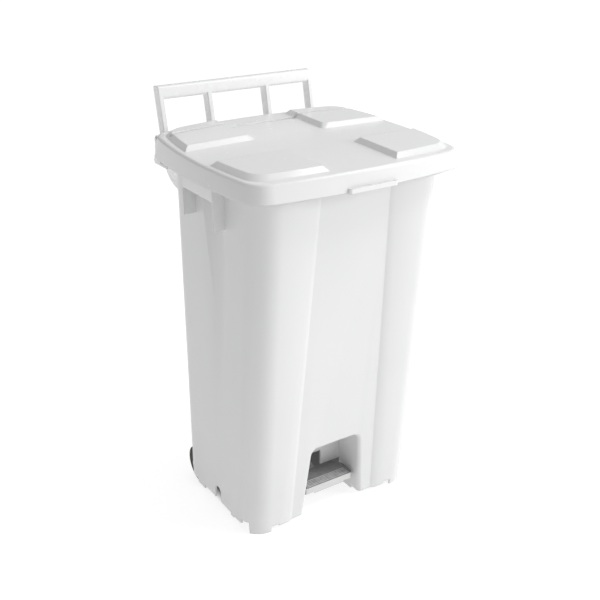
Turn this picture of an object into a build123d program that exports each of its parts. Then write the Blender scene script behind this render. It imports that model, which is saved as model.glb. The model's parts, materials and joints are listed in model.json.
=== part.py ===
from build123d import *
import math
import os

os.makedirs("parts", exist_ok=True)

# Millimetres. X runs across the bin, the front faces -Y, +Z is up.
# It is drawn about the middle of the lid and saved with the origin on the floor, under the
# middle of the whole bin.

# --- tub ---
TUB_HALF_W = 200.0
TUB_REAR_Y = 156.0
TUB_FRONT_Y = -125.0        # front wall at floor level
FRONT_LEAN = 0.0868         # how far the front wall comes forward per unit of height
TUB_CORNER_R = 50.0
WALL = 4.0
RIM_Z = 735.0
FLOOR_Z = 108.0             # inside face of the floor
RIM_HALF_W = 218.0
RIM_FRONT_Y = -207.0
RIM_CORNER_R = 62.0
RIM_LIP_Z = 714.0
RIM_LIP_T = 3.5

# --- sunk panel in the front wall ---
PANEL_HALF_LOW = 105.0
PANEL_HALF_HIGH = 80.0
PANEL_TOP = 712.0
PANEL_DEPTH = 5.0
PANEL_STEP_W = 11.0         # width of its slanting sides

# --- pedal recess ---
RECESS_HALF_LOW = 71.0
RECESS_HALF_HIGH = 56.0
RECESS_TOP = 164.0
RECESS_CORNER_R = 15.0
RECESS_BACK_Y = -56.0
RECESS_BACK_LOW = 62.0
RECESS_MOUTH_R = 8.0
TREAD_GAP_HALF = 66.0
LEVER_GAP_HALF = 15.0
LEVER_GAP_TOP = 98.0

# --- side grips ---
GRIP_X = 223.5
GRIP_T = 3.5
GRIP_FRONT_Y = -66.0
GRIP_REAR_Y = 50.0
GRIP_LIP_Z = 690.0
GRIP_RIB_Z = 637.0
SCOOP_R = 60.0
SCOOP_TOP = (-16.0, 14.0, 705.0)     # y of its middle, depth, height
SCOOP_FOOT = (-46.0, -1.0, 372.0)
SCOOP_END = 699.0

# --- hinge, crank and rod ---
HINGE_Y = 190.0
HINGE_Z = 744.0
CRANK_R = 25.0
LID_SWING = 75.0
HALF_SWING = math.radians(LID_SWING / 2)
CRANK_Y = HINGE_Y - CRANK_R * math.cos(HALF_SWING)
CRANK_Z = HINGE_Z - CRANK_R * math.sin(HALF_SWING)
ROD_Y = HINGE_Y - CRANK_R * (1 + math.cos(HALF_SWING)) / 2
ROD_R = 4.0
ROD_TRAVEL = 2 * CRANK_R * math.sin(HALF_SWING)
CRANK_PIN_R = 3.0

# --- pedal lever ---
PIVOT_Y = 20.0
PIVOT_Z = 60.0
PIVOT_PIN_R = 4.0
REAR_ARM = 148.0
HALF_TILT = math.asin(ROD_TRAVEL / 2 / REAR_ARM)
TIP_Y = PIVOT_Y + REAR_ARM * math.cos(HALF_TILT)
TIP_Z = PIVOT_Z - REAR_ARM * math.sin(HALF_TILT)
LEVER_HALF_W = 12.0
LEVER_T = 6.0
TREAD_HALF_W = 62.0
TREAD_FRONT_Y = -111.0
TREAD_REAR_Y = -50.0
TREAD_TOP = 58.0
TREAD_T = 14.0
TREAD_LIP = (36.0, 3.6)      # half width and height of the deeper middle of its front

# --- lid ---
LID_HALF_W = 240.0
LID_FRONT_Y = -226.7
LID_REAR_Y = 203.7
LID_BOW = 18.0
LID_CORNER_R = 50.0
LID_LOW_Z = 720.0
LID_CROWN_Z = 758.5         # height of the sunk cross over the origin
LID_SLOPE = 0.02            # rise of the top towards the rear
LID_DOME_R = 9500.0         # the top is slightly curved from side to side
LID_DRAFT = 0.2
LID_EDGE_R = 6.0
LID_T = 3.5
PAD_H = 9.0
PAD_HALF_X = 83.0
PAD_REAR_Y = 44.0
PAD_FRONT_Y = -75.0
PAD_CORNER_R = 9.0
PAD_INSET = 19.0            # foot of a pad's outer slope, from the skirt's foot
PAD_FRONT_INSET = 29.0
POCKET_X = 198.0            # the rear corners are cut back to clear the hinge ears
POCKET_Y = 179.0

# --- push handle ---
EAR_X = (199.5, 204.5)
EAR_R = 8.0
SHELF_Z = (694.0, 700.0)
SHELF_REAR_Y = 228.0
GUSSET_FOOT_Z = 646.0
UPRIGHT_X = (66.8, 172.0)
UPRIGHT_T = 9.0
UPRIGHT_D = 22.0
UPRIGHT_LEAN = 0.2
UPRIGHT_Y = 214.0           # front face at hinge height
BAR_Z = (809.0, 834.0)
BAR_HALF_W = 176.5
MIDDLE_Y = 10.75            # middle of the whole bin, front to back

# --- wheels ---
WHEEL_R = 40.0
WHEEL_Y = 116.0
WHEEL_X = (166.0, 190.0)
HUB_R = 28.0
AXLE_R = 5.0

FIT = 0.02                  # gap round what is fixed in a bore
RUNNING = 0.07              # gap round what turns


def block(x, y, z):
    """Block between two limits on each axis."""
    centre = Pos((x[0] + x[1]) / 2, (y[0] + y[1]) / 2, (z[0] + z[1]) / 2)
    return centre * Box(x[1] - x[0], y[1] - y[0], z[1] - z[0])


def bar_x(x, y, z, radius):
    """Round bar along X."""
    return Pos((x[0] + x[1]) / 2, y, z) * Rot(0, 90, 0) * Cylinder(radius, x[1] - x[0])


def bar_y(x, y, z, radius):
    """Round bar along Y."""
    return Pos(x, (y[0] + y[1]) / 2, z) * Rot(90, 0, 0) * Cylinder(radius, y[1] - y[0])


def bar_z(x, y, z, radius):
    """Round bar along Z."""
    return Pos(x, y, (z[0] + z[1]) / 2) * Cylinder(radius, z[1] - z[0])


def plate_x(x, outline):
    """Plate with a YZ outline, between two limits on X."""
    face = make_face(Polyline(*[(x[0], y, z) for y, z in outline], close=True))
    return extrude(face, amount=x[1] - x[0], dir=(1, 0, 0))


def both_sides(shape):
    """A shape with its mirror image across the middle plane."""
    return shape + mirror(shape, about=Plane.YZ)


def front_y(z):
    """Y of the front wall's outside face."""
    return TUB_FRONT_Y - FRONT_LEAN * z


# ---------------------------------------------------------------- tub

def tub_section(z, inset):
    front = front_y(z) + inset
    rear = TUB_REAR_Y - inset
    outline = RectangleRounded(2 * (TUB_HALF_W - inset), rear - front, TUB_CORNER_R - inset)
    return Pos(0, (front + rear) / 2, z) * outline


def tub_block(z, inset):
    """Solid tub shape between two heights."""
    return loft([tub_section(z[0], inset).face(), tub_section(z[1], inset).face()])


def panel_outline(depth, half_change, top_change):
    """Panel's outline on a plane at some depth behind the front wall's face."""
    plane = Plane(origin=(0, TUB_FRONT_Y + depth, 0), x_dir=(1, 0, 0), z_dir=(0, -1, -FRONT_LEAN))
    low = PANEL_HALF_LOW + half_change
    high = PANEL_HALF_HIGH + half_change
    foot = -30.0
    foot_half = low - (low - high) / PANEL_TOP * foot
    top = PANEL_TOP + top_change
    corners = [(-foot_half, foot), (foot_half, foot), (high, top), (-high, top)]
    return plane * make_face(Polyline(*corners, close=True))


def panel_block(grow):
    """What the sunk front panel takes away, widening from its floor outwards."""
    spread = PANEL_STEP_W / PANEL_DEPTH
    inner = PANEL_DEPTH + grow
    outer = -6.0
    half = grow - PANEL_STEP_W / 2
    reach = half + spread * (inner - outer)
    return loft([panel_outline(inner, half, grow), panel_outline(outer, reach, grow + 4.0)])


def recess_block(grow, y):
    """Pedal recess shape between two depths."""
    foot = -30.0
    spread = (RECESS_HALF_LOW - RECESS_HALF_HIGH) / RECESS_TOP
    foot_half = RECESS_HALF_LOW + grow - spread * foot
    high = RECESS_HALF_HIGH + grow
    top = RECESS_TOP + grow
    corners = [(-foot_half, y[1], foot), (foot_half, y[1], foot), (high, y[1], top), (-high, y[1], top)]
    solid = extrude(make_face(Polyline(*corners, close=True)), amount=y[1] - y[0], dir=(0, -1, 0))
    upper = solid.edges().filter_by(Axis.Y).sort_by(Axis.Z)[-2:]
    return fillet(upper, RECESS_CORNER_R + grow)


def scoop(radius):
    """Slanting round bar that hollows the wall under a grip, deepest at its top."""
    ends = []
    for y, depth, z in (SCOOP_FOOT, SCOOP_TOP):
        ends.append(Vector(TUB_HALF_W + SCOOP_R - depth, y, z))
    along = ends[1] - ends[0]
    start = Plane(origin=ends[0], z_dir=along)
    return extrude(start * Circle(radius), amount=along.length)


def grip():
    """Right-hand grip: a deep lip under the rim between two ribs."""
    y = (GRIP_FRONT_Y, GRIP_REAR_Y)
    top = block((RIM_HALF_W - RIM_LIP_T, GRIP_X), y, (RIM_Z - WALL, RIM_Z))
    lip = block((GRIP_X - GRIP_T, GRIP_X), y, (GRIP_LIP_Z, RIM_Z))
    shape = top + lip
    for start in (GRIP_FRONT_Y, GRIP_REAR_Y - GRIP_T):
        shape += block((TUB_HALF_W - WALL, GRIP_X), (start, start + GRIP_T), (GRIP_RIB_Z, RIM_Z))
    return shape


def rim():
    """Rolled rim: a flange outwards and a lip downwards."""
    def outline(inset):
        size_y = TUB_REAR_Y - RIM_FRONT_Y - inset
        shape = RectangleRounded(2 * (RIM_HALF_W - inset), size_y + inset, RIM_CORNER_R - inset)
        return Pos(0, (TUB_REAR_Y + RIM_FRONT_Y + 2 * inset) / 2, 0) * shape
    opening = tub_block((RIM_LIP_Z - 1, RIM_Z + 1), WALL)
    flange = Pos(0, 0, RIM_Z - WALL) * extrude(outline(0), amount=WALL)
    lip = Pos(0, 0, RIM_LIP_Z) * extrude(outline(0) - outline(RIM_LIP_T), amount=RIM_Z - RIM_LIP_Z)
    behind = block((-300, 300), (TUB_REAR_Y, 300), (600, 800))
    return flange + lip - opening - behind


def skirt_notches():
    """Cut-outs along the tub's foot that leave it standing on its front corners."""
    side = []
    for start, end, top in ((-106, -88, 26), (-88, -60, 18), (-48, 66, 20), (66, 96, 11), (96, 170, 19)):
        side.append(block((TUB_HALF_W - 14, 230), (start, end), (-5, top)))
    side.append(block((TUB_HALF_W - 14, 230), (-7, 17), (-5, 40)))
    side.append(bar_x((TUB_HALF_W - 14, 230), 5.0, 40.0, 12.0))
    side.append(block((TUB_HALF_W - 14, 230), (-60, -48), (-5, 14)))
    side.append(block((132, 150), (-170, -90), (-5, 13)))
    side.append(block((50, 132), (-170, -90), (-5, 8)))
    cut = side[0]
    for piece in side[1:]:
        cut += piece
    rear = block((-160, 160), (140, 170), (-5, 24))
    return both_sides(cut) + rear


def wheel_bearing():
    """Right-hand rib and boss that carry a wheel's axle."""
    rib = block((155, 161), (84, 148), (44, FLOOR_Z - WALL)) + bar_x((155, 161), WHEEL_Y, WHEEL_R, 15.0)
    rib += block((155, 161), (WHEEL_Y - 15, WHEEL_Y + 15), (WHEEL_R, 60))
    boss = bar_x((192.5, TUB_HALF_W - WALL + 0.5), WHEEL_Y, WHEEL_R, 11.0)
    bore = bar_x((150, TUB_HALF_W - WALL), WHEEL_Y, WHEEL_R, AXLE_R + FIT)
    return rib + boss, bore


def pivot_lug():
    """Right-hand lug under the floor for the lever's pin."""
    x = (17.0, 23.0)
    return block(x, (PIVOT_Y - 11, PIVOT_Y + 11), (PIVOT_Z, FLOOR_Z - WALL + 0.5)) + bar_x(x, PIVOT_Y, PIVOT_Z, 11.0)


def recess_mouth(shell):
    """Edges where the pedal recess opens through the front panel."""
    found = []
    for edge in shell.edges():
        middle = edge.center()
        depth = middle.Y - front_y(middle.Z) - PANEL_DEPTH
        if abs(depth) < 0.5 and abs(middle.X) < RECESS_HALF_LOW + 1 and 0.5 < middle.Z < RECESS_TOP + 1:
            found.append(edge)
    return found


def tub():
    outside = tub_block((0, RIM_Z), 0) - panel_block(0)
    cavity = tub_block((FLOOR_Z, RIM_Z + 2), WALL) - panel_block(WALL)
    under = tub_block((-2, FLOOR_Z - WALL), WALL) - panel_block(WALL)
    shell = outside - cavity - under
    shell += recess_block(WALL, (-200, RECESS_BACK_Y + WALL)) & outside
    shell -= recess_block(0, (-250, RECESS_BACK_Y))
    shell = fillet(recess_mouth(shell), RECESS_MOUTH_R)
    backing = scoop(SCOOP_R + WALL) & tub_block((300, RIM_Z - 1), 0.5)
    shell += both_sides(backing)
    shell -= both_sides(scoop(SCOOP_R) - block((0, 400), (-200, 200), (SCOOP_END, 800)))
    shell += rim() + both_sides(grip())
    bearing, bore = wheel_bearing()
    shell += both_sides(bearing) + both_sides(pivot_lug())
    shell -= block((-TREAD_GAP_HALF, TREAD_GAP_HALF), (-60, -40), (-10, RECESS_BACK_LOW))
    shell -= block((-LEVER_GAP_HALF, LEVER_GAP_HALF), (-60, -40), (-10, LEVER_GAP_TOP))
    shell -= skirt_notches()
    shell -= both_sides(block((162, 192.5), (WHEEL_Y, 170), (-5, 84)))
    shell -= block((-20, 20), (140, 170), (-5, 100))
    shell -= both_sides(bore)
    shell -= bar_x((-30, 30), PIVOT_Y, PIVOT_Z, PIVOT_PIN_R + FIT)
    for x, z in HANDLE_SCREWS + GUIDE_SCREWS:
        shell -= bar_y(x, (140, 170), z, SCREW_R + FIT)
    return shell


# ---------------------------------------------------------------- fixings

SCREW_R = 2.5
SCREW_HEAD_R = 5.0
SCREW_HEAD_T = 3.0
HANDLE_SCREWS = [(x, z) for x in (-150, -95, 95, 150) for z in (658, 682)]
GUIDE_Z = (190.0, 390.0, 570.0)
GUIDE_SCREWS = [(x, z) for x in (-17, 17) for z in GUIDE_Z]
BACK_PLATE_Y = (156.2, 161.0)
GUIDE_PLATE_Y = (156.2, 160.2)


def screw_y(x, z, head_y):
    """Round-headed screw into the rear wall, its head at the back."""
    head = bar_y(x, (head_y, head_y + SCREW_HEAD_T), z, SCREW_HEAD_R)
    edge = head.edges().filter_by(GeomType.CIRCLE).sort_by(Axis.Y)[-1]
    head = fillet(edge, 2.0)
    slot = block((x - 3.5, x + 3.5), (head_y + 2, head_y + 5), (z - 0.6, z + 0.6))
    cross = block((x - 0.6, x + 0.6), (head_y + 2, head_y + 5), (z - 3.5, z + 3.5))
    return head + bar_y(x, (146, head_y), z, SCREW_R) - slot - cross


def screws(places, head_y):
    shape = screw_y(*places[0], head_y)
    for x, z in places[1:]:
        shape += screw_y(x, z, head_y)
    return shape


# ---------------------------------------------------------------- push handle

def upright_y(z):
    """Y of an upright's front face."""
    return UPRIGHT_Y + UPRIGHT_LEAN * (z - HINGE_Z)


def upright(x):
    low, high = SHELF_Z[0], BAR_Z[1] - 4
    outline = [(upright_y(low), low), (upright_y(low) + UPRIGHT_D, low)]
    outline += [(upright_y(high) + UPRIGHT_D, high), (upright_y(high), high)]
    return plate_x((x - UPRIGHT_T / 2, x + UPRIGHT_T / 2), outline)


def grip_bar():
    """Rounded bar that joins the uprights at the top."""
    outline = []
    for z in BAR_Z:
        outline.append((upright_y(z), z))
    for z in reversed(BAR_Z):
        outline.append((upright_y(z) + UPRIGHT_D, z))
    bar = plate_x((-BAR_HALF_W, BAR_HALF_W), outline)
    return fillet(bar.edges().filter_by(Axis.X), 5.0)


def hinge_ear():
    """Right-hand ear that holds a hinge pin outside the lid's rear corner."""
    eye = bar_x(EAR_X, HINGE_Y, HINGE_Z, EAR_R)
    stem = [(HINGE_Y - EAR_R, HINGE_Z), (HINGE_Y + EAR_R, HINGE_Z), (HINGE_Y + 16, SHELF_Z[0])]
    stem += [(HINGE_Y - EAR_R, SHELF_Z[0])]
    return eye + plate_x(EAR_X, stem)


def gusset(x):
    """Bracket under the shelf with a rounded outer edge."""
    wall_y = BACK_PLATE_Y[0]
    reach = SHELF_REAR_Y - 6 - wall_y
    drop = SHELF_Z[0] - GUSSET_FOOT_Z
    centre = (x - UPRIGHT_T / 2, wall_y, SHELF_Z[0])
    plane = Plane(origin=centre, x_dir=(0, 1, 0), z_dir=(1, 0, 0))
    quarter = Ellipse(reach, drop) & Pos(reach / 2, -drop / 2) * Rectangle(reach, drop)
    return extrude(plane * quarter, amount=UPRIGHT_T)


def push_handle():
    half = block((26, EAR_X[1]), (BACK_PLATE_Y[0], SHELF_REAR_Y), SHELF_Z)
    corner = half.edges().filter_by(Axis.Z).group_by(Axis.X)[-1].sort_by(Axis.Y)[-1]
    half = fillet(corner, 26.0)
    half += block((0, 40), (198, SHELF_REAR_Y), SHELF_Z)
    half += block((26, 180), BACK_PLATE_Y, (GUSSET_FOOT_Z, SHELF_Z[1]))
    half += hinge_ear()
    for x in UPRIGHT_X:
        half += gusset(x) + upright(x)
    half += block((0, UPRIGHT_X[1]), (upright_y(SHELF_Z[1]) + 4, SHELF_REAR_Y), (SHELF_Z[0], 706))
    shape = both_sides(half) + grip_bar()
    shape -= both_sides(bar_x((190, 220), HINGE_Y, HINGE_Z, PIN_R + FIT))
    for x, z in HANDLE_SCREWS:
        shape -= bar_y(x, (150, 170), z, SCREW_R + FIT)
    return shape


# ---------------------------------------------------------------- hinge

PIN_R = 3.5
BOSS_X = 168.0
BOSS_R = 9.0


def hinge_pins():
    """Headed pins through the handle's ears into the lid's bosses."""
    pin = bar_x((BOSS_X - 3, EAR_X[1]), HINGE_Y, HINGE_Z, PIN_R)
    head = bar_x((EAR_X[1], EAR_X[1] + 2.5), HINGE_Y, HINGE_Z, 5.5)
    edge = head.edges().filter_by(GeomType.CIRCLE).sort_by(Axis.X)[-1]
    return both_sides(pin + fillet(edge, 1.2))


# ---------------------------------------------------------------- lid

def bowed_outline(half_w, front, rear, radius):
    """Four bowed sides with rounded corners."""
    corner_x = half_w - LID_BOW
    low, high = front + LID_BOW, rear - LID_BOW
    corners = [(-corner_x, low), (corner_x, low), (corner_x, high), (-corner_x, high)]
    middle_y = (front + rear) / 2
    middles = [(0, front), (half_w, middle_y), (0, rear), (-half_w, middle_y)]
    sides = []
    for i, middle in enumerate(middles):
        sides.append(ThreePointArc(corners[i], middle, corners[(i + 1) % 4]))
    face = make_face(Wire(sides))
    return fillet(face.vertices(), radius)


def lid_outline(z, inset):
    outline = bowed_outline(LID_HALF_W - inset, LID_FRONT_Y + inset, LID_REAR_Y - inset, LID_CORNER_R - inset)
    return Pos(0, 0, z) * outline


def hinge_pocket(grow):
    """What is cut from the lid's rear corners beside the hinge ears."""
    return both_sides(block((POCKET_X - grow, 260), (POCKET_Y - grow, 260), (700, 800)))


def lid_body(inset):
    """Full-height lid shape, drawn in towards the top."""
    top = 790.0
    shrink = LID_DRAFT * (top - LID_LOW_Z)
    return loft([lid_outline(LID_LOW_Z, inset).face(), lid_outline(top, inset + shrink).face()])


def under_top(lift):
    """Everything below the lid's sloping, slightly curved top."""
    tilt = math.degrees(math.atan(LID_SLOPE))
    dome = Rot(90 + tilt, 0, 0) * Cylinder(LID_DOME_R, 1200)
    axis_z = LID_CROWN_Z + lift - LID_DOME_R / math.cos(math.radians(tilt))
    return Pos(0, 0, axis_z) * dome & block((-270, 270), (-260, 260), (700, 800))


def pad_outline(z, inset):
    front = LID_FRONT_Y + PAD_FRONT_INSET + inset
    rear = LID_REAR_Y - PAD_INSET - inset
    outline = bowed_outline(LID_HALF_W - PAD_INSET - inset, front, rear, LID_CORNER_R - 12)
    return Pos(0, 0, z) * outline


def pad_block(rear, offset):
    """One raised corner's limits, its sides sloping at 45 degrees."""
    edge_z = LID_CROWN_Z + PAD_H
    levels = []
    rounds = []
    for z in (edge_z - 20, edge_z + 12):
        x = PAD_HALF_X + (z - edge_z) + offset
        if rear:
            y = (PAD_REAR_Y + (z - edge_z) + offset, 260.0)
        else:
            y = (-260.0, PAD_FRONT_Y - (z - edge_z) - offset)
        face = Pos((x + 260) / 2, (y[0] + y[1]) / 2, z) * RectangleRounded(260 - x, y[1] - y[0], PAD_CORNER_R)
        levels.append(face.face())
        rounds.append(pad_outline(z, z - edge_z + PAD_H + offset).face())
    return both_sides(loft(levels)) & loft(rounds)


def lid_form(inset, drop, pad_offset):
    """Lid shape with its raised corners, from the skirt's foot to the top."""
    body = lid_body(inset) - hinge_pocket(inset)
    form = body & under_top(-drop)
    if inset == 0:
        top_edges = form.faces().sort_by(Axis.Z)[-1].edges()
        form = fillet(top_edges, LID_EDGE_R)
    raised = under_top(PAD_H - drop)
    for rear in (True, False):
        form += raised & pad_block(rear, pad_offset) & block((-270, 270), (-260, 260), (LID_LOW_Z + 20, 800))
    return form


GROOVE_R = 1508.0
GROOVE_Y = 141.0
GROOVE_W = 9.0
GROOVE_DEPTH = 2.2


def lid_groove(form):
    """Shallow channel across the lid near the hinge, at one depth below the top."""
    ring = Cylinder(GROOVE_R + GROOVE_W / 2, 400) - Cylinder(GROOVE_R - GROOVE_W / 2, 400)
    ring = Pos(0, GROOVE_Y - GROOVE_R, 750) * ring
    band = ring & block((-206, 206), (60, 200), (700, 800))
    lowered = Pos(0, 0, -GROOVE_DEPTH) * form
    return band - lowered


def finger_tab():
    """Small shelf in the middle of the front edge, with a groove along its top."""
    front = LID_FRONT_Y - 5.0
    tab = block((-51, 51), (front, front + 22), (718.5, 727.5))
    tab = fillet(tab.edges().filter_by(Axis.Z).group_by(Axis.Y)[0], 5.0)
    groove = block((-46, 46), (front + 3.5, front + 6.5), (725.5, 730))
    return tab - groove


def crank_lug():
    """Right-hand lug under the lid that carries the crank pin."""
    x = (7.2, 12.2)
    top = LID_CROWN_Z + LID_SLOPE * HINGE_Y - 2
    web = [(CRANK_Y - 7, CRANK_Z), (CRANK_Y + 7, CRANK_Z), (HINGE_Y + 4, top - 12), (HINGE_Y + 8, top)]
    web += [(CRANK_Y - 7, top - 1.5)]
    return bar_x(x, CRANK_Y, CRANK_Z, 7.0) + plate_x(x, web)


BUFFER_PLACES = [(209.0, -110.0), (209.0, 70.0)]
BUFFER_Z = (RIM_Z + 0.3, 740.0)
LID_RIBS_Y = (-150.0, -20.0, 100.0)
ROD_NOTCH_X = (-11.0, 11.0)     # the rear skirt swings past the raised push rod here
ROD_NOTCH_Z = 730.0


def lid():
    outside = lid_form(0, 0, 0)
    inside = lid_form(LID_T, LID_T, LID_T * 1.42)
    hollow = inside + Pos(0, 0, -20) * (lid_body(LID_T) & block((-300, 300), (-300, 300), (700, 745)))
    shape = outside - hollow
    shape += (finger_tab() - hollow) - outside
    bosses = bar_x((BOSS_X, POCKET_X), HINGE_Y, HINGE_Z, BOSS_R)
    bosses += block((BOSS_X, POCKET_X), (HINGE_Y - 24, HINGE_Y), (HINGE_Z - BOSS_R, HINGE_Z + BOSS_R))
    shape += both_sides(bosses)
    shape += both_sides(crank_lug())
    for x, y in BUFFER_PLACES:
        post = bar_z(x, y, (BUFFER_Z[1], 790), 5.0) & outside
        shape += both_sides(post)
    for y in LID_RIBS_Y:
        rib = block((-190, 190), (y - 1.25, y + 1.25), (744, 790)) & outside
        shape += rib
    shape -= lid_groove(outside)
    shape -= block(ROD_NOTCH_X, (HINGE_Y + 4, LID_REAR_Y + 5), (LID_LOW_Z - 2, ROD_NOTCH_Z))
    shape -= bar_x((-15, 15), CRANK_Y, CRANK_Z, CRANK_PIN_R + FIT)
    shape -= both_sides(bar_x((BOSS_X - 5, 235), HINGE_Y, HINGE_Z, PIN_R + RUNNING))
    return shape


def lid_buffers():
    """Soft studs that meet the rim."""
    shape = None
    for x, y in BUFFER_PLACES:
        stud = bar_z(x, y, BUFFER_Z, 6.0)
        stud = fillet(stud.edges().sort_by(Axis.Z)[0], 1.2)
        shape = stud if shape is None else shape + stud
    return both_sides(shape)


def crank_pin():
    return bar_x((-13.5, 13.5), CRANK_Y, CRANK_Z, CRANK_PIN_R)


# ---------------------------------------------------------------- push rod

HEAD_HALF = (5.0, 10.0, 8.0)
FOOT_CHEEK = (13.0, 17.0)


def slot_x(x, y, z, radius, run):
    """Slot along Y, cut through in X."""
    shape = block(x, (y - run / 2, y + run / 2), (z - radius, z + radius))
    return shape + bar_x(x, y - run / 2, z, radius) + bar_x(x, y + run / 2, z, radius)


def push_rod():
    return bar_z(0, ROD_Y, (56.0, CRANK_Z - HEAD_HALF[2]), ROD_R)


def rod_head():
    """Plate with a slot that lifts the crank pin."""
    low = CRANK_Z - HEAD_HALF[2]
    x = (-HEAD_HALF[0], HEAD_HALF[0])
    plate = block(x, (ROD_Y - HEAD_HALF[1], ROD_Y + HEAD_HALF[1]), (low, CRANK_Z + HEAD_HALF[2]))
    plate = fillet(plate.edges().filter_by(Axis.X), 3.0)
    run = CRANK_R * (1 - math.cos(HALF_SWING)) + 0.8
    neck = bar_z(0, ROD_Y, (low - 14, low + 1), 6.5)
    shape = plate + neck
    shape -= slot_x((-8, 8), ROD_Y, CRANK_Z, CRANK_PIN_R + 0.9, run)
    return shape - bar_z(0, ROD_Y, (low - 20, low), ROD_R + FIT)


def rod_foot():
    """Fork over the lever's rear end."""
    y = (ROD_Y - 10, ROD_Y + 10)
    cheek = block(FOOT_CHEEK, y, (TIP_Z - 9, TIP_Z + 20))
    cheek = fillet(cheek.edges().filter_by(Axis.X).group_by(Axis.Z)[0], 6.0)
    bridge = block((0, FOOT_CHEEK[1]), y, (TIP_Z + 11, TIP_Z + 21))
    shape = both_sides(cheek + bridge)
    shape += bar_z(0, ROD_Y, (TIP_Z + 20, TIP_Z + 34), 8.0)
    shape -= slot_x((-20, 20), ROD_Y, TIP_Z, PIN_R + 0.35, 2.2)
    return shape - bar_z(0, ROD_Y, (56.0, 120), ROD_R + FIT)


def rod_guides():
    """Blocks on the rear wall that the rod slides through."""
    shape = None
    for z in GUIDE_Z:
        guide = block((-24, 24), GUIDE_PLATE_Y, (z - 12, z + 12))
        guide = fillet(guide.edges().filter_by(Axis.Y), 5.0)
        guide += block((-8.5, 8.5), (GUIDE_PLATE_Y[0], ROD_Y), (z - 12, z + 12))
        guide += bar_z(0, ROD_Y, (z - 12, z + 12), 8.5)
        guide -= bar_z(0, ROD_Y, (z - 20, z + 20), ROD_R + 0.3)
        for x in (-17, 17):
            guide -= bar_y(x, (150, 165), z, SCREW_R + FIT)
        shape = guide if shape is None else shape + guide
    return shape


# ---------------------------------------------------------------- pedal

def pedal_lever():
    """Bent flat bar from under the tread, past the pivot, to the fork of the rod."""
    t = LEVER_T / 2
    line = [(-92.0, 44.0), (-36.0, 44.0), (PIVOT_Y, PIVOT_Z), (TIP_Y, TIP_Z)]
    upper = [(y, z + t) for y, z in line]
    lower = [(y, z - t) for y, z in reversed(line)]
    bar = plate_x((-LEVER_HALF_W, LEVER_HALF_W), upper + lower)
    bar += bar_x((-16.5, 16.5), PIVOT_Y, PIVOT_Z, 8.0)
    bar += bar_x((-LEVER_HALF_W, LEVER_HALF_W), TIP_Y, TIP_Z, 7.5)
    bar -= bar_x((-30, 30), PIVOT_Y, PIVOT_Z, PIVOT_PIN_R + RUNNING)
    bar -= bar_x((-30, 30), TIP_Y, TIP_Z, PIN_R + FIT)
    for y in TREAD_SCREWS_Y:
        bar -= bar_z(0, y, (30, 60), SCREW_R + FIT)
    return bar


TREAD_SCREWS_Y = (-84.0, -62.0)
TREAD_WALL = 3.0
TREAD_FRONT_R = 10.0
TREAD_REAR_R = 28.0
RIB_COUNT = 5
RIB_PITCH = 4.4


def tread_block(inset, z):
    """Outline of the tread, its rear corners rounder than its front ones."""
    half = TREAD_HALF_W - inset
    shape = block((-half, half), (TREAD_FRONT_Y + inset, TREAD_REAR_Y - inset), z)
    shape = fillet(shape.edges().filter_by(Axis.Z).group_by(Axis.Y)[0], TREAD_FRONT_R - inset)
    return fillet(shape.edges().filter_by(Axis.Z).group_by(Axis.Y)[-1], TREAD_REAR_R - inset)


def pedal_tread():
    """Foot plate, hollow below, ribbed along its front."""
    y = (TREAD_FRONT_Y, TREAD_REAR_Y)
    z = (TREAD_TOP - TREAD_T, TREAD_TOP - 1.0)
    plate = tread_block(0, z)
    plate = fillet(plate.faces().sort_by(Axis.Z)[-1].edges(), 2.0)
    shape = plate - tread_block(TREAD_WALL, (z[0] - 1, z[1] - TREAD_WALL))
    lip_y = (y[0], y[0] + TREAD_WALL)
    shape += block((-TREAD_LIP[0], TREAD_LIP[0]), lip_y, (z[0] - TREAD_LIP[1], z[0] + 1))
    shape += block((-10, 10), (-90, -56), (47.0, z[1] - 1))
    shape -= block((-LEVER_HALF_W - 0.3, LEVER_HALF_W + 0.3), (-60, -40), (40, 47.0))
    for i in range(RIB_COUNT):
        rib_y = TREAD_FRONT_Y + 5.0 + i * RIB_PITCH
        shape += block((-52, 52), (rib_y - 0.9, rib_y + 0.9), (z[1] - 1, TREAD_TOP))
    for screw_y_place in TREAD_SCREWS_Y:
        shape -= bar_z(0, screw_y_place, (44, 55), SCREW_R + FIT)
    return shape


def tread_screws():
    """Screws up through the lever into the tread."""
    shape = None
    for y in TREAD_SCREWS_Y:
        low = 44.0 - LEVER_T / 2
        screw = bar_z(0, y, (low - 3, low), SCREW_HEAD_R) + bar_z(0, y, (low, 54.5), SCREW_R)
        shape = screw if shape is None else shape + screw
    return shape


def pedal_pin():
    return bar_x((-25.0, 25.0), PIVOT_Y, PIVOT_Z, PIVOT_PIN_R)


def pin_clips():
    """Spring rings outside the lugs."""
    ring = bar_x((23.2, 24.6), PIVOT_Y, PIVOT_Z, 7.0) - bar_x((20, 30), PIVOT_Y, PIVOT_Z, PIVOT_PIN_R + FIT)
    return both_sides(ring)


def lever_pin():
    return bar_x((-18.5, 18.5), TIP_Y, TIP_Z, PIN_R)


# ---------------------------------------------------------------- wheels

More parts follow.
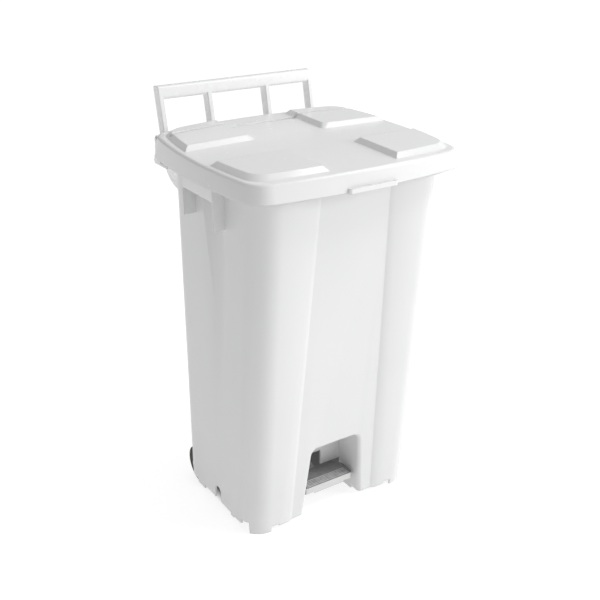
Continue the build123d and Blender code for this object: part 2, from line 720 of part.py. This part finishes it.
def wheel_hub(side):
    width = WHEEL_X[1] - WHEEL_X[0]
    middle = side * (WHEEL_X[0] + WHEEL_X[1]) / 2
    hub = bar_x((middle - width / 2, middle + width / 2), WHEEL_Y, WHEEL_R, HUB_R)
    for end in (-1, 1):
        face = middle + end * width / 2
        x = sorted((face - end * 8, face + end))
        well = bar_x(x, WHEEL_Y, WHEEL_R, HUB_R - 4) - bar_x(x, WHEEL_Y, WHEEL_R, 9.5)
        hub -= well
    for i in range(5):
        angle = 72 * i
        spoke = Pos(middle, WHEEL_Y, WHEEL_R) * Rot(angle, 0, 0) * Pos(0, 0, 16.5) * Box(width - 6, 4, 16)
        hub += spoke
    return hub - bar_x((middle - 20, middle + 20), WHEEL_Y, WHEEL_R, AXLE_R + RUNNING)


def wheel_tyre(side):
    x = sorted((side * WHEEL_X[0], side * WHEEL_X[1]))
    tyre = bar_x(x, WHEEL_Y, WHEEL_R, WHEEL_R)
    tyre = fillet(tyre.edges().filter_by(GeomType.CIRCLE), 4.0)
    return tyre - bar_x((x[0] - 1, x[1] + 1), WHEEL_Y, WHEEL_R, HUB_R)


def axle_pins():
    return both_sides(bar_x((151.0, TUB_HALF_W - WALL - 0.3), WHEEL_Y, WHEEL_R, AXLE_R))


def axle_washers():
    """Spacers between each wheel and the rib beside it."""
    ring = bar_x((161.6, 165.4), WHEEL_Y, WHEEL_R, 9.5) - bar_x((160, 168), WHEEL_Y, WHEEL_R, AXLE_R + RUNNING)
    return both_sides(ring)


PARTS = {
    "tub": tub,
    "push_handle": push_handle,
    "handle_screws": lambda: screws(HANDLE_SCREWS, BACK_PLATE_Y[1]),
    "hinge_pins": hinge_pins,
    "rod_guides": rod_guides,
    "guide_screws": lambda: screws(GUIDE_SCREWS, GUIDE_PLATE_Y[1]),
    "axle_pins": axle_pins,
    "axle_washers": axle_washers,
    "pedal_pin": pedal_pin,
    "pin_clips": pin_clips,
    "lid": lid,
    "lid_buffers": lid_buffers,
    "crank_pin": crank_pin,
    "push_rod": push_rod,
    "rod_head": rod_head,
    "rod_foot": rod_foot,
    "pedal_lever": pedal_lever,
    "pedal_tread": pedal_tread,
    "tread_screws": tread_screws,
    "lever_pin": lever_pin,
    "left_wheel_hub": lambda: wheel_hub(-1),
    "left_wheel_tyre": lambda: wheel_tyre(-1),
    "right_wheel_hub": lambda: wheel_hub(1),
    "right_wheel_tyre": lambda: wheel_tyre(1),
}

for name, make in PARTS.items():
    export_step(Pos(0, -MIDDLE_Y, 0) * make(), f"parts/{name}.step")
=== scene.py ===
import json
import math

import bmesh
import bpy
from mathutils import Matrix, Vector


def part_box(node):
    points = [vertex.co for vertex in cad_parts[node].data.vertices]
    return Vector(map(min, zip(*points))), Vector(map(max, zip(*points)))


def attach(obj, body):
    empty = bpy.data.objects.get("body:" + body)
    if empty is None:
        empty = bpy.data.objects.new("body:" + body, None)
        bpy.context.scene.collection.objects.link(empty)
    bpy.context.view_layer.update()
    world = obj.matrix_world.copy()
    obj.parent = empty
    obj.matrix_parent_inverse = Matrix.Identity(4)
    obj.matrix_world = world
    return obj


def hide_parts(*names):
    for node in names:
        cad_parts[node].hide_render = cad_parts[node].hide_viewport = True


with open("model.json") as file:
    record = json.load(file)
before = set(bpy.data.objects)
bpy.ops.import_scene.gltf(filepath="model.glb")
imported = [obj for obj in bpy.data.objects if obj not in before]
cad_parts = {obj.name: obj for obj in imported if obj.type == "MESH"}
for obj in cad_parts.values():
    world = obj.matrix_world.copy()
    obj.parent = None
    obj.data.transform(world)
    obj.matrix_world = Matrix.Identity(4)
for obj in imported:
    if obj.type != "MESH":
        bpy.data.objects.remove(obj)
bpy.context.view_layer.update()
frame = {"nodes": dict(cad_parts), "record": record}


# ------------------------------------------------------------------ shader maths

BEVEL_SAMPLES = 6


class Value:
    """A number in a shader, used in Python expressions."""

    def __init__(self, finish, socket):
        self.finish = finish
        self.socket = socket

    def maths(self, operation, *others):
        node = self.finish.add("ShaderNodeMath", {"operation": operation}, [self, *others])
        return Value(self.finish, node.outputs[0])

    def reflected(self, operation, other):
        node = self.finish.add("ShaderNodeMath", {"operation": operation}, [other, self])
        return Value(self.finish, node.outputs[0])

    def __add__(self, other):
        return self.maths("ADD", other)

    __radd__ = __add__

    def __sub__(self, other):
        return self.maths("SUBTRACT", other)

    def __rsub__(self, other):
        return self.reflected("SUBTRACT", other)

    def __mul__(self, other):
        return self.maths("MULTIPLY", other)

    __rmul__ = __mul__

    def __pow__(self, other):
        return self.maths("POWER", other)

    def most(self, other):
        return self.maths("MAXIMUM", other)

    def size(self):
        """The value without its sign."""
        return self.most(self * -1.0)

    def between(self, low, high):
        """0 below low, 1 above high, straight between them."""
        node = self.finish.add("ShaderNodeMapRange", {"clamp": True}, [self, low, high])
        return Value(self.finish, node.outputs[0])


class Finish:
    """One material and the nodes that make it."""

    def __init__(self, name):
        self.material = bpy.data.materials.new(name)
        self.material.use_nodes = True
        self.nodes = self.material.node_tree.nodes
        self.links = self.material.node_tree.links
        self.nodes.clear()
        self.shader = self.nodes.new("ShaderNodeBsdfPrincipled")
        output = self.nodes.new("ShaderNodeOutputMaterial")
        self.links.new(self.shader.outputs[0], output.inputs[0])
        self.place = self.add("ShaderNodeTexCoord").outputs["Object"]
        parts = self.add("ShaderNodeSeparateXYZ", {}, [self.place])
        self.x, self.y, self.z = [Value(self, s) for s in parts.outputs]

    def put(self, socket, value):
        if isinstance(value, Value):
            value = value.socket
        if isinstance(value, bpy.types.NodeSocket):
            self.links.new(value, socket)
        else:
            socket.default_value = value

    def add(self, kind, settings=None, values=()):
        """Any node: its settings first, then what goes into its sockets."""
        node = self.nodes.new(kind)
        for key, value in (settings or {}).items():
            setattr(node, key, value)
        pairs = values.items() if isinstance(values, dict) else enumerate(values)
        for key, value in pairs:
            self.put(node.inputs[key], value)
        return node

    def stretched(self, scale):
        return self.add("ShaderNodeMapping", {}, {"Vector": self.place, "Scale": scale}).outputs[0]

    def noise(self, scale, detail=4.0, roughness=0.55, place=None):
        values = {"Vector": place or self.place, "Scale": scale}
        values.update({"Detail": detail, "Roughness": roughness})
        return Value(self, self.add("ShaderNodeTexNoise", {}, values).outputs["Fac"])

    def cells(self, scale):
        values = {"Vector": self.place, "Scale": scale}
        return Value(self, self.add("ShaderNodeTexVoronoi", {}, values).outputs["Distance"])

    def rounded_normal(self, radius):
        node = self.add("ShaderNodeBevel", {"samples": BEVEL_SAMPLES}, {"Radius": radius})
        return node.outputs[0]

    def edges(self, radius, low=0.02, high=0.2):
        """1 where the surface turns sharply, 0 on its flats."""
        rounded = self.rounded_normal(radius)
        normal = self.add("ShaderNodeNewGeometry").outputs["Normal"]
        dot = self.add("ShaderNodeVectorMath", {"operation": "DOT_PRODUCT"}, [rounded, normal])
        return (1.0 - Value(self, dot.outputs["Value"])).between(low, high)

    def blend(self, factor, first, second):
        node = self.add("ShaderNodeMix", {"data_type": "RGBA"}, {0: factor})
        ends = [socket for socket in node.inputs if socket.type == "RGBA"]
        self.put(ends[0], first)
        self.put(ends[1], second)
        return [socket for socket in node.outputs if socket.type == "RGBA"][0]

    def bump(self, height, distance, rounding=0.0):
        """Fine relief, over edges whose shine is softened by a rounding."""
        values = {"Height": height, "Distance": distance}
        if rounding:
            values["Normal"] = self.rounded_normal(rounding)
        node = self.add("ShaderNodeBump", {}, values)
        self.links.new(node.outputs[0], self.shader.inputs["Normal"])

    def surface(self, **values):
        for name, value in values.items():
            self.put(self.shader.inputs[name.replace("_", " ")], value)


def colour(value, tint=(1.0, 1.0, 1.0)):
    return (value * tint[0], value * tint[1], value * tint[2], 1.0)


# ------------------------------------------------------------------ finishes

MOULD_SPECKLE = 420.0
MOULD_RELIEF = 0.0012
MOULD_ROUNDING = 0.0028         # how far the shine of the mouldings' edges is softened
GRIME_TOP_Z = 0.16
LID_GROOVE_MIDDLE_Y = -1.37775  # the lid's groove is an arc about this point
LID_GROOVE_RADIUS = 1.508
LID_GROOVE_HALF = 0.0045
LID_GROOVE_END_X = 0.2055
# strength of the painted shade in the lid's groove
LID_GROOVE_SHADE = 0.55


def groove_painted_shade(f):
    """Painted shade in the groove along the back of the lid."""
    along = f.y - LID_GROOVE_MIDDLE_Y
    off = (f.x * f.x + along * along) ** 0.5 - LID_GROOVE_RADIUS
    inside = (LID_GROOVE_HALF - off.size()).between(0.0, 0.0012)
    ends = (LID_GROOVE_END_X - f.x.size()).between(0.0, 0.002)
    return inside * ends * (0.7 + f.noise(30.0, 4.0) * 0.5)


def moulded_white(name, level, gloss, grime=0.0, grooved=False):
    """Injection-moulded white polypropylene, grimy near the floor, or given painted shade in its
    groove.
    """
    f = Finish(name)
    flow = f.noise(3.5, 3.0)
    haze = f.noise(26.0, 5.0, 0.6)
    scuffs = f.noise(9.0, 7.0, 0.7, f.stretched((14.0, 3.0, 1.2))).between(0.6, 0.78)
    rubbed = f.edges(0.003) * f.noise(38.0, 4.0).between(0.4, 0.62)
    blotches = f.noise(17.0, 6.0, 0.65).between(0.35, 0.75)
    low_down = (1.0 - f.z.between(0.0, GRIME_TOP_Z)) * blotches
    cooler = colour(level * 0.975, (0.995, 1.0, 1.004))
    clean = f.blend(flow.between(0.3, 0.7), colour(level), cooler)
    worn = f.blend(scuffs * 0.10 + rubbed * 0.12, clean, colour(level * 0.72, (1.0, 0.99, 0.97)))
    # painted shade in the lid's groove; grime near the floor on the other mouldings
    dust = groove_painted_shade(f) * LID_GROOVE_SHADE if grooved else low_down * grime
    grimed_and_groove_shaded = f.blend(dust, worn, colour(0.42, (1.0, 0.96, 0.9)))
    f.surface(Base_Color=grimed_and_groove_shaded, IOR=1.49)
    f.surface(Roughness=gloss + haze * 0.10 + scuffs * 0.16 + rubbed * 0.18 + low_down * 0.12)
    grain = f.noise(MOULD_SPECKLE, 3.0, 0.5)
    f.bump(flow * 0.6 + haze * 0.10 + grain * 0.05, MOULD_RELIEF, MOULD_ROUNDING)
    return f.material


def moulded_grey():
    """Grey plastic of the foot pedal: dirty between its ribs, lighter on their tops, rubbed
    lighter on its edges, with painted light on its front face.
    """
    f = Finish("grey_pedal_plastic")
    low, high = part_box("pedal_tread")
    grain = f.noise(900.0, 4.0)
    dirt = f.noise(45.0, 6.0, 0.7).between(0.4, 0.7)
    rubbed = f.edges(0.0015) * f.noise(80.0, 4.0).between(0.35, 0.6)
    on_ribs = f.z.between(high.z - 0.0008, high.z - 0.0003) * f.noise(70.0, 4.0).between(0.2, 0.5)
    # painted light: the tread's front face is made lighter
    painted_front_light = 1.0 - f.y.between(low.y + 0.0006, low.y + 0.0022)
    # lighter on rib tops and rubbed edges, plus the painted light on the front face
    wear_and_painted_light = (on_ribs * 0.9).most(painted_front_light * 0.85).most(rubbed * 0.5)
    base = f.blend(dirt, colour(0.27), colour(0.20, (1.0, 0.98, 0.95)))
    f.surface(Base_Color=f.blend(wear_and_painted_light, base, colour(0.72)), IOR=1.5)
    f.surface(Roughness=0.42 + grain * 0.12 + dirt * 0.14 - wear_and_painted_light * 0.12)
    f.bump(grain * 0.5 + dirt * 0.4, 0.0003)
    return f.material


def zinc_steel():
    """Drawn steel with bright zinc plating, dulled in patches."""
    f = Finish("zinc_plated_steel")
    drawn = f.noise(60.0, 5.0, 0.6, f.stretched((14.0, 14.0, 1.0)))
    bloom = f.cells(140.0).between(0.1, 0.7)
    rubbed = f.edges(0.0008)
    base = f.blend(bloom, colour(0.56, (0.97, 1.0, 1.03)), colour(0.66, (1.0, 1.0, 0.98)))
    f.surface(Base_Color=f.blend(rubbed * 0.5, base, colour(0.78)), Metallic=1.0)
    f.surface(Roughness=0.28 + drawn * 0.16 + bloom * 0.10 - rubbed * 0.08)
    f.bump(drawn * 0.5 + bloom * 0.2, 0.0002)
    return f.material


def black_nylon():
    """Black moulded nylon with a fine texture."""
    f = Finish("black_nylon")
    grain = f.noise(1100.0, 3.0)
    dust = f.noise(60.0, 6.0, 0.7).between(0.5, 0.8)
    rubbed = f.edges(0.001)
    base = f.blend(dust * 0.5, colour(0.022), colour(0.075, (1.0, 0.97, 0.92)))
    f.surface(Base_Color=f.blend(rubbed * 0.35, base, colour(0.11)), IOR=1.53)
    f.surface(Roughness=0.38 + grain * 0.14 + dust * 0.18)
    f.bump(grain, 0.00018)
    return f.material


def black_tyre():
    """Solid rubber tyre, dusty on its tread."""
    f = Finish("black_tyre_rubber")
    grain = f.noise(700.0, 4.0)
    dust = f.noise(50.0, 6.0, 0.7).between(0.4, 0.75)
    rubbed = f.edges(0.0015)
    base = f.blend(dust * 0.6 + rubbed * 0.25, colour(0.014), colour(0.085, (1.0, 0.96, 0.9)))
    f.surface(Base_Color=base, IOR=1.52)
    f.surface(Roughness=0.62 + grain * 0.12 + dust * 0.14)
    f.bump(grain * 0.7 + dust * 0.3, 0.0003)
    return f.material


def soft_stud():
    """Grey rubber of the lid's studs."""
    f = Finish("grey_stud_rubber")
    grain = f.noise(800.0, 3.0)
    marks = f.noise(120.0, 5.0).between(0.45, 0.7)
    f.surface(Base_Color=f.blend(marks, colour(0.34), colour(0.44)), IOR=1.5)
    f.surface(Roughness=0.6 + grain * 0.2)
    f.bump(grain, 0.0002)
    return f.material


# ------------------------------------------------------------------ tools

MERGE_GAP = 0.00002
SAME_FLAT = 0.5                 # degrees; faces that turn less become one
SHARP_TURN = 35.0
SHORTEST_EDGE = 0.004           # a moulding's shorter edges stay sharp
MOULDING_SMOOTH = 12.0
FLATS_SMOOTH = 20.0


def only(piece):
    bpy.ops.object.select_all(action="DESELECT")
    piece.hide_set(False)
    piece.select_set(True)
    bpy.context.view_layer.objects.active = piece


def apply_all(piece):
    only(piece)
    for modifier in list(piece.modifiers):
        bpy.ops.object.modifier_apply(modifier=modifier.name)


def dress(piece, body, slot, angle=32.0):
    """Gives a piece the finish of its slot, smooth shading and its body."""
    piece.data.materials.clear()
    piece.data.materials.append(FINISHES[slot])
    only(piece)
    bpy.ops.object.shade_smooth_by_angle(angle=math.radians(angle))
    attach(piece, body)


def merged_copy(node, name):
    """A copy of a CAD form with its seams merged and its flats made whole."""
    piece = bpy.data.objects.new(name, frame["nodes"][node].data.copy())
    bpy.context.scene.collection.objects.link(piece)
    only(piece)
    bpy.ops.object.mode_set(mode="EDIT")
    bpy.ops.mesh.select_all(action="SELECT")
    bpy.ops.mesh.remove_doubles(threshold=MERGE_GAP)
    bpy.ops.mesh.dissolve_limited(angle_limit=math.radians(SAME_FLAT))
    bpy.ops.object.mode_set(mode="OBJECT")
    return piece


def mark_corners(piece, shortest, angle, weight_at=lambda middle: 1.0):
    """Gives a bevel weight to each long edge where the form turns sharply."""
    shape = bmesh.new()
    shape.from_mesh(piece.data)
    weight = shape.edges.layers.float.new("bevel_weight_edge")
    for edge in shape.edges:
        if len(edge.link_faces) == 2 and edge.calc_length() > shortest:
            if edge.calc_face_angle() > math.radians(angle):
                edge[weight] = weight_at((edge.verts[0].co + edge.verts[1].co) / 2)
    shape.to_mesh(piece.data)
    shape.free()


def round_corners(piece, radius, segments=2):
    """Bevels the edges that have a bevel weight."""
    bevel = piece.modifiers.new("rounding", "BEVEL")
    bevel.limit_method = "WEIGHT"
    bevel.width = radius
    bevel.segments = segments
    apply_all(piece)


def moulded(node, name, body, slot, radius, segments=2, weight_at=lambda middle: 1.0):
    """A moulding: the CAD form with its sharp edges rounded off."""
    piece = merged_copy(node, name)
    mark_corners(piece, SHORTEST_EDGE, SHARP_TURN, weight_at)
    round_corners(piece, radius, segments)
    dress(piece, body, slot, MOULDING_SMOOTH)
    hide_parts(node)
    return piece


def even_flats(piece):
    """Shades a piece's broad, nearly flat faces by their own direction."""
    only(piece)
    bpy.ops.object.shade_smooth_by_angle(angle=math.radians(FLATS_SMOOTH))
    flats = piece.modifiers.new("flats", "WEIGHTED_NORMAL")
    flats.keep_sharp = True
    apply_all(piece)


# ------------------------------------------------------------------ wheels

TYRE_SIDES = 120
TYRE_BORE_R = 0.0281
TYRE_SIDE_RING = 0.0025         # outer ring of each side face
TYRE_BORE_RING = 0.003          # inner ring of each side face
TYRE_GROOVE = (0.08, 0.17)      # shares of the tyre's width, out from its middle
TYRE_SHOULDER = 0.36
TYRE_GROOVE_DEPTH = 0.0013
TYRE_NOTCH_DEPTH = 0.0011
TYRE_NOTCH_EVERY = 4
TYRE_TREAD_FROM = 0.98          # share of the radius


def select_faces(piece, wanted):
    """Selects the faces that a test on their middle and normal picks, and goes to edit mode."""
    only(piece)
    bpy.ops.object.mode_set(mode="EDIT")
    bpy.ops.mesh.select_all(action="DESELECT")
    bpy.ops.mesh.select_mode(type="FACE")
    bpy.ops.object.mode_set(mode="OBJECT")
    for face in piece.data.polygons:
        face.select = wanted(face.center, face.normal)
    bpy.ops.object.mode_set(mode="EDIT")


def cut_across(piece, x):
    """Adds a ring of edges round a piece at one place along X."""
    only(piece)
    bpy.ops.object.mode_set(mode="EDIT")
    bpy.ops.mesh.select_all(action="SELECT")
    bpy.ops.mesh.bisect(plane_co=(x, 0, 0), plane_no=(1, 0, 0))
    bpy.ops.object.mode_set(mode="OBJECT")


def tyre(node, body):
    """Solid tyre with two grooves round it and notched shoulders."""
    low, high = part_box(node)
    middle = (low + high) / 2
    radius = (high.z - low.z) / 2
    width = high.x - low.x
    side_face = radius - TYRE_SIDE_RING - TYRE_BORE_R - TYRE_BORE_RING
    bpy.ops.object.select_all(action="DESELECT")
    bpy.ops.mesh.primitive_cylinder_add(vertices=TYRE_SIDES, radius=radius, depth=width,
                                        location=middle, rotation=(0, math.pi / 2, 0))
    piece = bpy.context.object
    piece.name = node + "_rubber"
    bpy.ops.object.transform_apply(location=True, rotation=True, scale=True)
    select_faces(piece, lambda centre, normal: abs(normal.x) > 0.9)
    for thickness in (TYRE_SIDE_RING, side_face, TYRE_BORE_RING):
        bpy.ops.mesh.inset(thickness=thickness)
    bpy.ops.mesh.bridge_edge_loops()
    bpy.ops.object.mode_set(mode="OBJECT")
    cuts = (*TYRE_GROOVE, TYRE_SHOULDER)
    for share in (*(-cut for cut in reversed(cuts)), *cuts):
        cut_across(piece, middle.x + share * width)

    def across(centre):
        return abs(centre.x - middle.x) / width

    def on_tread(centre):
        out = math.hypot(centre.y - middle.y, centre.z - middle.z)
        return out > radius * TYRE_TREAD_FROM

    def in_groove(centre, normal):
        return TYRE_GROOVE[0] < across(centre) < TYRE_GROOVE[1] and on_tread(centre)

    def in_notch(centre, normal):
        turn = math.atan2(centre.z - middle.z, centre.y - middle.y) / math.tau * TYRE_SIDES
        notched = int(turn + 2 * TYRE_SIDES) % TYRE_NOTCH_EVERY == 0
        on_shoulder = across(centre) > TYRE_SHOULDER and abs(normal.x) < 0.1
        return notched and on_shoulder and on_tread(centre)

    select_faces(piece, in_groove)
    bpy.ops.mesh.inset(thickness=0.0002, depth=-TYRE_GROOVE_DEPTH)
    bpy.ops.object.mode_set(mode="OBJECT")
    select_faces(piece, in_notch)
    bpy.ops.mesh.inset(thickness=0.0002, depth=-TYRE_NOTCH_DEPTH, use_individual=True)
    bpy.ops.object.mode_set(mode="OBJECT")
    mark_corners(piece, shortest=0.001, angle=50.0)
    round_corners(piece, radius=0.0006)
    dress(piece, body, "black_tyre")
    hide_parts(node)


# ------------------------------------------------------------------ pieces

FINISHES = {
    "white_body": moulded_white("white_body_plastic", level=0.77, gloss=0.30, grime=0.10),
    "white_lid": moulded_white("white_lid_plastic", level=0.83, gloss=0.16, grooved=True),
    "white_handle": moulded_white("white_handle_plastic", level=0.91, gloss=0.22),
    "grey_pedal": moulded_grey(),
    "zinc_steel": zinc_steel(),
    "black_nylon": black_nylon(),
    "black_tyre": black_tyre(),
    "soft_stud": soft_stud(),
}
LID_PADS_Z = 0.7555

for entry in frame["record"]["subparts"]:
    cad = frame["nodes"][entry["node"]]
    cad.data.materials.clear()
    cad.data.materials.append(FINISHES[entry["material_slot"]])


def on_raised_corners(middle):
    """Softest round the lid's raised corners, crisper on its skirt and ribs."""
    return 1.0 if middle.z > LID_PADS_Z else 0.3


moulded("tub", "bin_body", "base", "white_body", radius=0.0010)
even_flats(moulded("lid", "bin_lid", "lid", "white_lid", radius=0.0025, segments=3,
                   weight_at=on_raised_corners))
moulded("push_handle", "rear_push_handle", "base", "white_handle", radius=0.0014, segments=3)
moulded("pedal_tread", "foot_plate", "pedal", "grey_pedal", radius=0.0005)
moulded("left_wheel_hub", "left_hub", "left_wheel", "black_nylon", radius=0.0007)
moulded("right_wheel_hub", "right_hub", "right_wheel", "black_nylon", radius=0.0007)
tyre("left_wheel_tyre", "left_wheel")
tyre("right_wheel_tyre", "right_wheel")


# ------------------------------------------------------------------ floor, light and camera

FLOOR_SIZE = 24.0
FLOOR_GLOW = 0.80
UNDER_HALF_X = 0.19             # the floor gives no light under the bin, a painted shadow there
UNDER_FRONT_Y = -0.055
UNDER_REAR_Y = 0.14
UNDER_FADE = 0.02
ROOM_LEFT = 0.10
ROOM_RIGHT = 0.60
CEILING = 0.56
LAMP_SIZE = 1.2
KEY_PLACE = (2.6, -2.4, 1.7)
KEY_TARGET = (0, 0, 0.4)
KEY_POWER = 45
SLOPE_PLACE = (1.5, -1.17, 3.0)
SLOPE_TARGET = (0, 0, 0.76)
SLOPE_POWER = 28
VIEW_LENS = 36.0 * 921.8 / 600.0
VIEW_TARGET = (-0.0003, -0.01075, 0.4282)
VIEW_AZIMUTH = 33.06
VIEW_ELEVATION = 24.06
VIEW_DISTANCE = 1.8536


def floor():
    bpy.ops.object.select_all(action="DESELECT")
    bpy.ops.mesh.primitive_plane_add(size=FLOOR_SIZE, location=(0, 0, 0))
    ground = bpy.context.object
    ground.name = "floor"
    paper = Finish("pale_floor")
    shade = paper.noise(0.8, 2.0)
    paper.surface(Base_Color=paper.blend(shade, colour(0.34), colour(0.36)))
    paper.surface(Roughness=0.9 + shade * 0.05)
    # painted shadow: the floor gives no light under the bin
    inwards = (UNDER_HALF_X - paper.x.size(), paper.y - UNDER_FRONT_Y, UNDER_REAR_Y - paper.y)
    under_x, under_front, under_rear = [side.between(0.0, UNDER_FADE) for side in inwards]
    glow_with_painted_shadow = paper.blend(under_x * under_front * under_rear, colour(1.0), colour(0.0))
    paper.surface(Emission_Color=glow_with_painted_shadow, Emission_Strength=FLOOR_GLOW)
    ground.data.materials.append(paper.material)


def lamp(name, place, target, power):
    data = bpy.data.lights.new(name, "AREA")
    data.shape = "DISK"
    data.size = LAMP_SIZE
    data.energy = power
    light = bpy.data.objects.new(name, data)
    light.location = place
    light.rotation_euler = (Vector(target) - Vector(place)).to_track_quat("-Z", "Y").to_euler()
    bpy.context.scene.collection.objects.link(light)


def studio():
    world = bpy.data.worlds.new("studio")
    bpy.context.scene.world = world
    world.use_nodes = True
    nodes, links = world.node_tree.nodes, world.node_tree.links
    nodes.clear()
    direction = nodes.new("ShaderNodeSeparateXYZ")
    links.new(nodes.new("ShaderNodeTexCoord").outputs["Generated"], direction.inputs[0])
    side = nodes.new("ShaderNodeMapRange")
    links.new(direction.outputs[0], side.inputs[0])
    span = {"From Min": -0.9, "From Max": 0.7, "To Min": ROOM_LEFT, "To Max": ROOM_RIGHT}
    for key, value in span.items():
        side.inputs[key].default_value = value
    height = nodes.new("ShaderNodeMapRange")
    links.new(direction.outputs[2], height.inputs[0])
    height.inputs["To Max"].default_value = CEILING
    total = nodes.new("ShaderNodeMath")
    links.new(side.outputs[0], total.inputs[0])
    links.new(height.outputs[0], total.inputs[1])
    around = nodes.new("ShaderNodeBackground")
    links.new(total.outputs[0], around.inputs["Strength"])
    output = nodes.new("ShaderNodeOutputWorld")
    links.new(around.outputs[0], output.inputs[0])
    lamp("key_light", KEY_PLACE, KEY_TARGET, KEY_POWER)
    lamp("slope_light", SLOPE_PLACE, SLOPE_TARGET, SLOPE_POWER)


def camera():
    data = bpy.data.cameras.new("camera")
    data.sensor_width = 36.0
    data.lens = VIEW_LENS
    data.clip_end = 60.0
    eye = bpy.data.objects.new("camera", data)
    azimuth, elevation = math.radians(VIEW_AZIMUTH), math.radians(VIEW_ELEVATION)
    level = math.cos(elevation)
    back = Vector((-math.sin(azimuth) * level, -math.cos(azimuth) * level, math.sin(elevation)))
    eye.location = Vector(VIEW_TARGET) + back * VIEW_DISTANCE
    eye.rotation_euler = (-back).to_track_quat("-Z", "Y").to_euler()
    bpy.context.scene.collection.objects.link(eye)
    bpy.context.scene.camera = eye


floor()
studio()
camera()
bpy.context.scene.view_settings.view_transform = "Standard"
